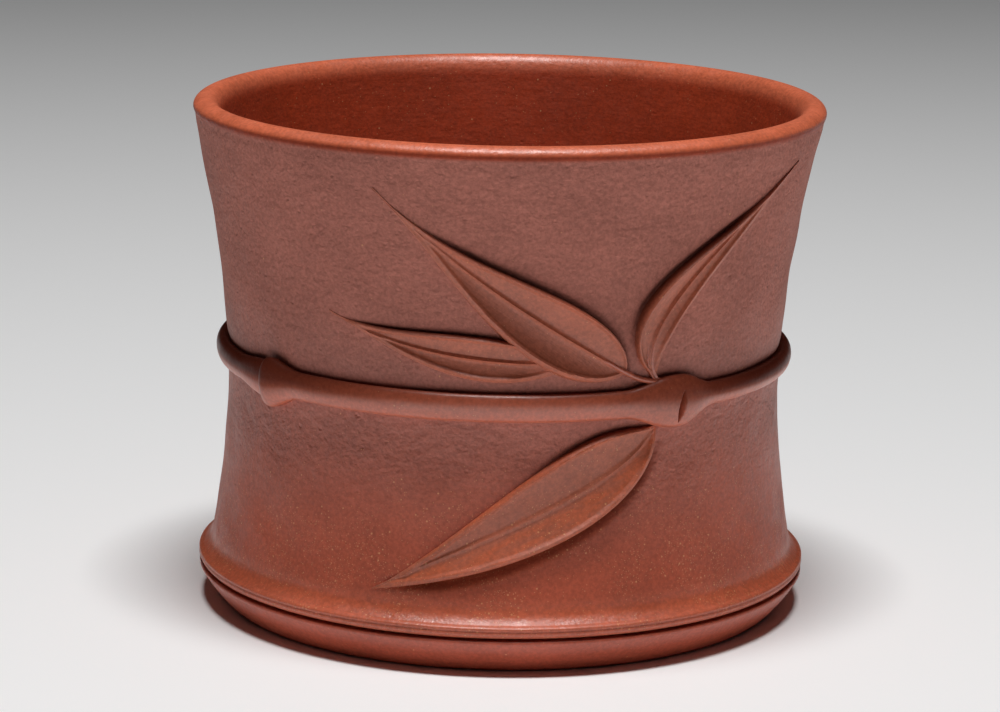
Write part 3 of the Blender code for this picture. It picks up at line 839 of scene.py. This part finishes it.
def leaf_blade(node, leaf, clay):
    """Leaf pressed on the wall: a dished face between raised edges, over a back that is sunk in the wall."""
    share = 0.5 - 0.5 * np.cos(np.linspace(LEAF_END_TURN, math.pi - LEAF_END_TURN, LEAF_ROWS))
    point, left_of = midrib(leaf, share)
    widest = max(leaf.left.width, leaf.right.width)
    breadth = np.maximum(leaf.left.half_width(share), leaf.right.half_width(share))
    body = np.clip(breadth / widest, 0, 1)[:, None] ** LEAF_BODY_POWER
    if leaf.tuck:
        body = body * smooth(share / leaf.tuck - LEAF_TUCK_START)[:, None]
    across = np.sin(np.linspace(0, math.pi / 2, LEAF_COLUMNS))
    sides, hollows = [], []
    for side, edge, sign in (("left", leaf.left, 1), ("right", leaf.right, -1)):
        width = edge.half_width(share)[:, None]
        inset = width * (1 - across)
        aside = sign * left_of[:, None]
        face = point[:, None] + aside * (width * across)[..., None]
        foot = point[:, None] + aside * (width - np.minimum(edge.undercut, width / 2))[..., None]
        upper = from_flat(face, blade_height(edge, width, inset, leaf.rib * LEAF_RIB_HEIGHT) * body)
        sides.append(np.concatenate([upper, from_flat(foot, -LEAF_SINK)], axis=1))
        # Painted shade: along the foot beside a scoop, and on the dished rise to an edge that has shade
        beside = shade_beside(node, side, share)
        flank = np.clip(1 - inset / LEAF_SHADE_WIDTH, 0, 1) * beside
        dish = edge.shade * smooth(across / DISH_SHADE_START)
        dish = dish * smooth((inset - edge.shoulder) / LEAF_RIM_HALF_WIDTH - 1)
        hollows.append(np.concatenate([flank + dish * body, beside], axis=1))
    sections = np.concatenate([sides[1][:, ::-1], sides[0][:, 1:]], axis=1)
    hollow = np.concatenate([hollows[1][:, ::-1], hollows[0][:, 1:]], axis=1)
    # Painted light: brighter orange where the leaf faces the lamp, as strong as leaf.rubbed says
    rubbed = np.tile(leaf_painted_light(across) * leaf.rubbed, (LEAF_ROWS, 1))
    lofted(node, sections, clay, hollow=hollow, rubbed=rubbed)


def branch_top(angle):
    """Rise of the branch's upper edge over its centre line, at an angle round the cup."""
    for length in LENGTHS.values():
        station = math.radians((angle - length.start_angle) % 360) * WAIST_RADIUS
        if station <= length.span():
            near, far = length.swelling(station)
            start_rise = (length.start.height - length.start.drop) * near
            return length.half_height + start_rise + (length.end.height - length.end.drop) * far
    return 0.0


def stalk(node, form, clay):
    """Fine ridge that leaves the branch, bends into a leaf and dies out along its midrib."""
    foot = unrolled(form.foot_angle, branch_top(form.foot_angle) - form.half_widths[0])
    rib, left_of = midrib(LEAVES[form.leaf], np.linspace(0.0, form.reach, STALK_ROWS))
    heading = np.array([left_of[0, 1], -left_of[0, 0]])
    gap = np.linalg.norm(rib[0] - foot)
    neck = bezier([foot, rib[0] - heading * gap / 2, rib[0]], STALK_ROWS)
    path = np.concatenate([neck[:-1], rib])
    side = square_left(np.gradient(path, axis=0))
    share = np.concatenate([[0], np.cumsum(np.linalg.norm(np.diff(path, axis=0), axis=1))])
    share = (share / share[-1])[:, None]
    half_width = form.half_widths[0] * (1 - share) + form.half_widths[1] * share
    height = form.heights[0] + (form.heights[1] - form.heights[0]) * share ** STALK_FALL_POWER
    turn = np.linspace(0, math.pi, ROUND_STEPS)
    flat = path[:, None] + side[:, None] * (half_width * np.cos(turn))[..., None]
    hollow = form.hollow * np.sin(turn) ** STALK_HOLLOW_POWER * (share > 0)
    upper = from_flat(flat, height * np.sin(turn) ** STALK_ROUND_POWER - hollow)
    lower = from_flat(flat[:, [-1, 0]], -STALK_SINK)
    lofted(node, np.concatenate([upper, lower], axis=1), clay)


# Materials. A Mix node's colour sockets share their names with others, so they go by number.
MM_PER_METRE = 1000
MIX_FIRST = 6
MIX_SECOND = 7
MIX_RESULT = 2
NOISE_MIDDLE = (0.3, 0.7)


class Nodes:
    """Short forms for building a node material. Lengths are in millimetres on the cup."""

    def __init__(self, name):
        self.material = bpy.data.materials.new(name)
        self.material.use_nodes = True
        self.tree = self.material.node_tree
        self.shader = self.tree.nodes["Principled BSDF"]
        place = self.add("ShaderNodeTexCoord", {}).outputs["Object"]
        self.place = self.stretch(place, (MM_PER_METRE,) * 3)

    def add(self, kind, inputs, **settings):
        """New node with its settings, and its inputs linked or set."""
        made = self.tree.nodes.new(kind)
        for name, value in settings.items():
            setattr(made, name, value)
        for name, value in inputs.items():
            self.put(made.inputs[name], value)
        return made

    def put(self, socket, value):
        """Link a socket to another one, or set its value."""
        if isinstance(value, bpy.types.NodeSocket):
            self.tree.links.new(value, socket)
        else:
            socket.default_value = value

    def stretch(self, place, scale):
        """Coordinates times a scale."""
        return self.add("ShaderNodeVectorMath", {0: place, 1: scale}, operation="MULTIPLY").outputs["Vector"]

    def turn(self, place, degrees):
        """Coordinates turned about the axis that points at the viewer of the front."""
        turned_by = (0, math.radians(degrees), 0)
        return self.add("ShaderNodeMapping", {"Vector": place, "Rotation": turned_by}).outputs["Vector"]

    def noise(self, place, size, detail=3.0, roughness=0.5):
        """Noise whose blobs are about this size."""
        inputs = {"Vector": place, "Scale": 1 / size, "Detail": detail, "Roughness": roughness}
        return self.add("ShaderNodeTexNoise", inputs).outputs["Fac"]

    def span(self, value, low, high, to_low, to_high):
        """Value mapped from one range to another, clamped and eased."""
        inputs = {"Value": value, "From Min": low, "From Max": high, "To Min": to_low, "To Max": to_high}
        return self.add("ShaderNodeMapRange", inputs, interpolation_type="SMOOTHSTEP").outputs["Result"]

    def between(self, share, first, second):
        """Value between two, eased by a share from 0 to 1."""
        return self.span(share, 0.0, 1.0, first, second)

    def swing(self, by, **noise):
        """Noise that swings this far to both sides of zero."""
        return self.span(self.noise(self.place, **noise), *NOISE_MIDDLE, -by, by)

    def sum(self, first, second, operation="ADD"):
        """Sum of two values, or another operation on them."""
        return self.add("ShaderNodeMath", {0: first, 1: second}, operation=operation).outputs["Value"]

    def times(self, first, second):
        """Product of two values."""
        return self.sum(first, second, "MULTIPLY")

    def blend(self, share, first, second):
        """Colour between two."""
        inputs = {"Factor": share, MIX_FIRST: first, MIX_SECOND: second}
        return self.add("ShaderNodeMix", inputs, data_type="RGBA").outputs[MIX_RESULT]

    def cells(self, place, per_mm):
        """Random cells: distances from their centres, and chances as the channels of a colour."""
        made = self.add("ShaderNodeTexVoronoi", {"Vector": place, "Scale": per_mm, "Randomness": 1.0})
        chances = self.add("ShaderNodeSeparateColor", {"Color": made.outputs["Color"]})
        return made.outputs["Distance"], chances.outputs

    def layer(self, name):
        """Value of a layer on the vertices."""
        return self.add("ShaderNodeAttribute", {}, attribute_name=name).outputs["Fac"]

    def height(self):
        """Height on the cup."""
        return self.add("ShaderNodeSeparateXYZ", {"Vector": self.place}).outputs["Z"]


# Colours of the clay, several with painted light or shade in them
# The upper wall's greyer pink is partly painted reflection of the pale table; the low wall is deeper red
# without it
WALL_CLAY_AND_REFLECTION = (0.447, 0.162, 0.122, 1.0)
LOW_WALL_CLAY = (0.45, 0.086, 0.041, 1.0)
# Ridge and lip are brighter orange, partly for their rubbed clay and partly as painted light from the lamp
# above. The ridge's rounded lower edge is paler with painted light.
RIDGE_CLAY_AND_LIGHT = (0.52, 0.108, 0.048, 1.0)
PAINTED_LIGHT_RIDGE_EDGE = (0.52, 0.115, 0.060, 1.0)
LIP_CLAY_AND_LIGHT = (0.66, 0.145, 0.064, 1.0)
# Painted shade: the dark band under the lip's bead
PAINTED_SHADE_UNDER_LIP = (0.30, 0.045, 0.018, 1.0)
BURNISHED_CLAY = (0.49, 0.112, 0.057, 1.0)
FOOT_CLAY = (0.465, 0.094, 0.051, 1.0)
LEAF_CLAY = (0.46, 0.120, 0.063, 1.0)
# Painted light: the brighter orange of a leaf's side that faces the lamp
PAINTED_LIGHT_LEAF_COLOUR = (0.57, 0.122, 0.048, 1.0)
# Painted shade: the inside is darker and redder than the outside, for the shade deep in the cup
PAINTED_SHADE_BOWL_COLOUR = (0.375, 0.047, 0.0135, 1.0)
# Painted shade: the colour that hollows, creases and the branch's upper side are darkened towards
PAINTED_SHADE_COLOUR = (0.075, 0.012, 0.006, 1.0)
SPECK_COLOUR = (0.78, 0.40, 0.19, 1.0)
# How far painted shade darkens towards that colour, and how much the clay's tone varies
HOLLOW_SHADE = 0.6
MOTTLE = 0.16

# Roughness
WALL_ROUGHNESS = 0.50
SANDED_ROUGHNESS = 0.66
RUBBED_ROUGHNESS = 0.44
BOWL_ROUGHNESS = 0.55

# Gloss; hollows keep a share of it and the band under the lip's bead keeps little, both as painted shade
WALL_GLOSS = 0.38
SANDED_GLOSS = 0.14
LOW_WALL_GLOSS = 0.35
RIDGE_GLOSS = 0.66
PAINTED_SHADE_UNDER_LIP_GLOSS = 0.1
LIP_GLOSS = 0.80
BOWL_GLOSS = 0.4
PAINTED_SHADE_GLOSS = 0.1
WALL_SHEEN = 0.09

# Depth of the wall's relief, in metres
SANDED_RELIEF = 0.000085
RUBBED_RELIEF = 0.000032

# Share of the cells of a grid that hold a speck, on the wall and the leaves
LOW_WALL_SPECKS = 0.62
HIGH_WALL_SPECKS = 0.02
UPPER_LEAF_SPECKS = 0.04
LOWER_LEAF_SPECKS = 0.2

# Heights in millimetres between which the finish of the outside, with its painted light and shade, changes:
# ridge, low wall, sanded wall, lip
RIDGE_ENDS = (6.2, 9.0)
RIDGE_EDGE_ENDS = (4.9, 5.8)
LOW_WALL_ENDS = (9.0, 36.0)
RUBBED_ENDS = (12.0, 26.0)
SANDED_STARTS = (28.0, 40.0)
LIP_STARTS = (56.15, 56.7)
CROWN_STARTS = (56.80, 57.35)
BOWL_ENDS = (55.8, 57.5)
SHEEN_STARTS = (9.0, 18.0)
SHEEN_ENDS = (24.0, 34.0)
SPECKED_ENDS = (5.0, 26.0)

# Specks: cells per millimetre, sizes and edges in parts of a cell, and how their number drifts with a noise
COARSE_SPECKS = 2.5
COARSE_SHARE = 0.35
FINE_SPECKS = 4.8
SPECK_SIZES = (0.14, 0.36)
SPECK_EDGE = 0.16
SPECK_STRENGTH = 0.55
DRIFT_NOISE = (0.38, 0.62)
DRIFT = (0.2, 1.9)

# Skin: how it is dragged, and the heights, shares and cells of its dents, pits and tooth
DRAG = (0.85, 0.85, 1.15)
DENT_HEIGHT = 2.1
PITS_PER_MM = 0.75
PIT_SHARE = 0.4
PIT_EDGES = (0.03, 0.24)
PIT_DEPTH = 0.8
TOOTH_HEIGHT = 1.15
BOWL_PITS = 0.5
LEAF_PITS = 0.4

# Marks of the wiping cloth and of the brush
WIPE_STRETCH = (0.3, 0.3, 2.0)
WIPE_HEIGHT = 0.5
BRUSH_STRETCH = (0.12, 1.0, 1.6)
PATCH_NOISE = (0.35, 0.6)
PATCH = (0.1, 0.8)


def specks(nodes, share, cells_per_mm):
    """Grog: pale specks of several sizes in this share of the cells of a grid."""
    distance, chances = nodes.cells(nodes.place, cells_per_mm)
    drift = nodes.span(nodes.noise(nodes.place, size=5.0, detail=1.0), *DRIFT_NOISE, *DRIFT)
    chosen = nodes.sum(chances["Red"], nodes.times(share, drift), "LESS_THAN")
    inside = nodes.sum(nodes.between(chances["Green"], *SPECK_SIZES), distance, "SUBTRACT")
    return nodes.times(nodes.span(inside, 0.0, SPECK_EDGE, 0.0, SPECK_STRENGTH), chosen)


def mottled(nodes, colour):
    """Clay colour with soft clouds and a fine grain of darker and lighter clay."""
    cloud = nodes.swing(by=0.5, size=9.0, detail=2.0)
    grain = nodes.swing(by=1.0, size=0.45, detail=4.0, roughness=0.65)
    value = nodes.sum(nodes.times(nodes.sum(cloud, grain), MOTTLE), 1.0)
    return nodes.add("ShaderNodeHueSaturation", {"Color": colour, "Value": value}).outputs["Color"]


def pits(nodes):
    """Sanded skin: soft dents, dragged a little sideways, some deeper pits and a fine tooth."""
    dragged = nodes.stretch(nodes.place, DRAG)
    dents = nodes.noise(dragged, size=1.05, detail=1.2, roughness=0.45)
    distance, chances = nodes.cells(dragged, PITS_PER_MM)
    chosen = nodes.sum(chances["Blue"], PIT_SHARE, "LESS_THAN")
    pit = nodes.times(nodes.span(distance, *PIT_EDGES, 1.0, 0.0), chosen)
    tooth = nodes.noise(nodes.place, size=0.32, detail=2.0)
    skin = nodes.sum(nodes.times(dents, DENT_HEIGHT), nodes.times(tooth, TOOTH_HEIGHT))
    return nodes.sum(skin, nodes.times(pit, PIT_DEPTH), "SUBTRACT")


def finish(nodes, colour, speck_share, roughness, gloss, relief, depth, hollowed=True):
    """Connect colour, roughness, gloss and relief, depth metres deep, to the shader. What is hollowed gets
    painted
    shade from its hollow layer: darker colour and less gloss in its hollows."""
    coarse = specks(nodes, nodes.times(speck_share, COARSE_SHARE), COARSE_SPECKS)
    grog = nodes.sum(coarse, specks(nodes, speck_share, FINE_SPECKS), "MAXIMUM")
    coloured = nodes.blend(grog, mottled(nodes, colour), SPECK_COLOUR)
    if hollowed:
        # Painted shade: the hollow layer darkens the colour and takes away gloss
        hollow = nodes.layer("hollow")
        coloured = nodes.blend(nodes.times(hollow, HOLLOW_SHADE), coloured, PAINTED_SHADE_COLOUR)
        gloss = nodes.times(gloss, nodes.between(hollow, 1.0, PAINTED_SHADE_GLOSS))
    wear = nodes.swing(by=0.05, size=2.2)
    bump = nodes.add("ShaderNodeBump", {"Height": relief, "Distance": depth, "Strength": 1.0})
    inputs = {"Base Color": coloured, "Roughness": nodes.sum(roughness, wear), "Specular IOR Level": gloss,
              "Normal": bump.outputs["Normal"]}
    for name, value in inputs.items():
        nodes.put(nodes.shader.inputs[name], value)
    return nodes.material


def outside_clay():
    """Wall, lip and ridge: sanded above the low wall, rubbed smooth on the ridge and the lip. Their colours
    change with height and are partly painted light and shade.
    """
    nodes = Nodes("outside_clay_fired")
    height = nodes.height()
    ridge = nodes.span(height, *RIDGE_ENDS, 1.0, 0.0)
    low = nodes.span(height, *LOW_WALL_ENDS, 1.0, 0.0)
    lip = nodes.span(height, *LIP_STARTS, 0.0, 1.0)
    rubbed = nodes.sum(nodes.sum(ridge, lip), nodes.span(height, *RUBBED_ENDS, 1.0, 0.0), "MAXIMUM")
    # Colours by height, partly painted light and shade: the greyer upper wall, the brighter ridge and lip,
    # the paler ridge edge and the dark band under the lip's bead
    colour = nodes.blend(low, WALL_CLAY_AND_REFLECTION, LOW_WALL_CLAY)
    colour = nodes.blend(ridge, colour, RIDGE_CLAY_AND_LIGHT)
    colour = nodes.blend(nodes.span(height, *RIDGE_EDGE_ENDS, 1.0, 0.0), colour, PAINTED_LIGHT_RIDGE_EDGE)
    colour = nodes.blend(lip, colour, PAINTED_SHADE_UNDER_LIP)
    colour = nodes.blend(nodes.span(height, *CROWN_STARTS, 0.0, 1.0), colour, LIP_CLAY_AND_LIGHT)
    sanded = nodes.span(height, *SANDED_STARTS, WALL_ROUGHNESS, SANDED_ROUGHNESS)
    roughness = nodes.between(nodes.sum(ridge, lip), sanded, RUBBED_ROUGHNESS)
    gloss = nodes.span(height, *SANDED_STARTS, WALL_GLOSS, SANDED_GLOSS)
    gloss = nodes.between(low, gloss, LOW_WALL_GLOSS)
    gloss = nodes.between(ridge, gloss, RIDGE_GLOSS)
    # Painted shade: little gloss in the band under the lip's bead
    gloss = nodes.between(lip, gloss, nodes.span(height, *CROWN_STARTS, PAINTED_SHADE_UNDER_LIP_GLOSS, LIP_GLOSS))
    sheen = nodes.span(height, *SHEEN_ENDS, WALL_SHEEN, 0.0)
    sheen = nodes.times(nodes.span(height, *SHEEN_STARTS, 0.0, 1.0), sheen)
    nodes.put(nodes.shader.inputs["Sheen Weight"], sheen)
    depth = nodes.between(rubbed, SANDED_RELIEF, RUBBED_RELIEF)
    share = nodes.span(height, *SPECKED_ENDS, LOW_WALL_SPECKS, HIGH_WALL_SPECKS)
    return finish(nodes, colour, share, roughness, gloss, pits(nodes), depth)


def burnished_clay(name, colour, gloss, hollowed):
    """Branch, stalks and foot, rubbed smooth."""
    nodes = Nodes(name)
    return finish(nodes, colour, speck_share=0.03, roughness=0.37, gloss=gloss, relief=pits(nodes),
                  depth=0.000018, hollowed=hollowed)


def bowl_clay():
    """Inside of the cup: deep red and darker than the outside as painted shade, wiped round, with the lip's
    clay at its upper edge.
    """
    nodes = Nodes("bowl_clay_fired")
    lip = nodes.span(nodes.height(), *BOWL_ENDS, 0.0, 1.0)
    wiped = nodes.noise(nodes.stretch(nodes.place, WIPE_STRETCH), size=0.9, detail=2.0)
    relief = nodes.sum(nodes.times(pits(nodes), BOWL_PITS), nodes.times(wiped, WIPE_HEIGHT))
    roughness = nodes.between(lip, BOWL_ROUGHNESS, RUBBED_ROUGHNESS)
    gloss = nodes.between(lip, BOWL_GLOSS, LIP_GLOSS)
    colour = nodes.blend(lip, PAINTED_SHADE_BOWL_COLOUR, LIP_CLAY_AND_LIGHT)
    return finish(nodes, colour, speck_share=0.05, roughness=roughness, gloss=gloss,
                  relief=relief, depth=0.00005)


def leaf_clay(name, degrees, speck_share):
    """A leaf, brushed along its length, which lies at this angle to the horizontal. Its rubbed layer paints
    light:
    brighter orange, in brushed patches.
    """
    nodes = Nodes(name)
    along = nodes.stretch(nodes.turn(nodes.place, degrees), BRUSH_STRETCH)
    relief = nodes.sum(nodes.noise(along, size=0.35), nodes.times(pits(nodes), LEAF_PITS))
    patches = nodes.span(nodes.noise(along, size=0.8, detail=2.0), *PATCH_NOISE, *PATCH)
    # The rubbed layer paints light in brushed patches
    colour = nodes.blend(nodes.times(nodes.layer("rubbed"), patches), LEAF_CLAY, PAINTED_LIGHT_LEAF_COLOUR)
    return finish(nodes, colour, speck_share, roughness=0.46, gloss=0.6, relief=relief, depth=0.00004)


def cup():
    """All pieces of the cup."""
    outside, bowl = outside_clay(), bowl_clay()
    burnished = burnished_clay("burnished_clay_fired", BURNISHED_CLAY, gloss=1.0, hollowed=True)
    body_wall(outside, bowl)
    lip_ring(outside, bowl)
    ridge_ring(outside)
    foot_ring(burnished_clay("foot_clay_fired", FOOT_CLAY, gloss=0.55, hollowed=False))
    base_disc(bowl)
    for node, length in LENGTHS.items():
        branch_length(node, length, burnished)
    for node, leaf in LEAVES.items():
        chord = unrolled(leaf.tip_angle, leaf.tip_rise) - unrolled(leaf.base_angle, leaf.base_rise)
        degrees = math.degrees(math.atan2(chord[1], chord[0]))
        speck_share = LOWER_LEAF_SPECKS if leaf.tip_rise < 0 else UPPER_LEAF_SPECKS
        leaf_blade(node, leaf, leaf_clay(node + "_clay", degrees, speck_share))
    for node, form in STALKS.items():
        stalk(node, form, burnished)


# Stage
FLOOR_RINGS = (0.0, 0.2, 0.6, 1.6)
FLOOR_SIDES = 96
FLOOR_COLOUR = (0.92, 0.92, 0.92, 1.0)
FLOOR_ROUGHNESS = 0.7
FLOOR_CLEARANCE = 0.00004
ROOM_LIGHT = 0.012


class Lamp(NamedTuple):
    """A rectangular soft lamp that shines at a point."""

    place: tuple
    aim: tuple
    size: tuple
    power: float
    spread: float = 180


LAMPS = {
    "softbox": Lamp(place=(0.013, -0.135, 0.99), aim=(0.013, -0.135, 0), size=(0.38, 0.16), power=4.0,
                    spread=120),
    "front_card": Lamp(place=(0, -0.13, 0.003), aim=(0, -0.13, 1), size=(0.30, 0.14), power=0.032),
    "right_card": Lamp(place=(0.16, -0.08, 0.003), aim=(0.16, -0.08, 1), size=(0.20, 0.25), power=0.036),
}

# Camera
IMAGE_WIDTH = 1000
FOCAL_PIXELS = 3555.47
SENSOR_WIDTH = 36.0
CAMERA_PLACE = (0.0, -0.40070, 0.11715)
CAMERA_PITCH = 12.575
CAMERA_YAW = -0.0612
CAMERA_ROLL = 0.988


def floor_paper():
    """Pale matt paper."""
    material = bpy.data.materials.new("floor_paper")
    material.use_nodes = True
    shader = material.node_tree.nodes["Principled BSDF"]
    shader.inputs["Base Color"].default_value = FLOOR_COLOUR
    shader.inputs["Roughness"].default_value = FLOOR_ROUGHNESS
    return material


def floor():
    """Plain pale floor."""
    angle = np.linspace(0, 360, FLOOR_SIDES, endpoint=False)
    points = round_cup(np.array(FLOOR_RINGS)[:, None], angle[None, :], -FLOOR_CLEARANCE)
    mesh = bpy.data.meshes.new("floor")
    mesh.from_pydata(points.reshape(-1, 3).tolist(), [], grid_faces(len(FLOOR_RINGS), FLOOR_SIDES, False))
    mesh.shade_smooth()
    mesh.materials.append(floor_paper())
    made = placed("floor", mesh)


def lamps():
    """Soft lamps of the studio."""
    for name, lamp in LAMPS.items():
        light = bpy.data.lights.new(name, "AREA")
        light.shape = "RECTANGLE"
        light.size, light.size_y = lamp.size
        light.energy = lamp.power
        light.spread = math.radians(lamp.spread)
        made = placed(name, light)
        made.location = lamp.place
        made.visible_camera = False
        made.rotation_mode = "QUATERNION"
        made.rotation_quaternion = (Vector(lamp.aim) - Vector(lamp.place)).to_track_quat("-Z", "Y")


def room():
    """Dim even light from the room."""
    world = bpy.data.worlds.new("room")
    world.use_nodes = True
    background = world.node_tree.nodes["Background"]
    background.inputs["Color"].default_value = (1, 1, 1, 1)
    background.inputs["Strength"].default_value = ROOM_LIGHT
    bpy.context.scene.world = world


def camera():
    """Camera at the photograph's viewing angle."""
    data = bpy.data.cameras.new("camera")
    data.sensor_fit = "HORIZONTAL"
    data.sensor_width = SENSOR_WIDTH
    data.lens = FOCAL_PIXELS / IMAGE_WIDTH * SENSOR_WIDTH
    made = placed("camera", data)
    aim = Matrix.Rotation(math.radians(-CAMERA_YAW), 4, "Z")
    aim = aim @ Matrix.Rotation(math.radians(90 - CAMERA_PITCH), 4, "X")
    aim = aim @ Matrix.Rotation(math.radians(CAMERA_ROLL), 4, "Z")
    made.matrix_world = Matrix.Translation(CAMERA_PLACE) @ aim
    bpy.context.scene.camera = made


bpy.context.scene.view_settings.view_transform = "Standard"
cup()
floor()
lamps()
room()
camera()
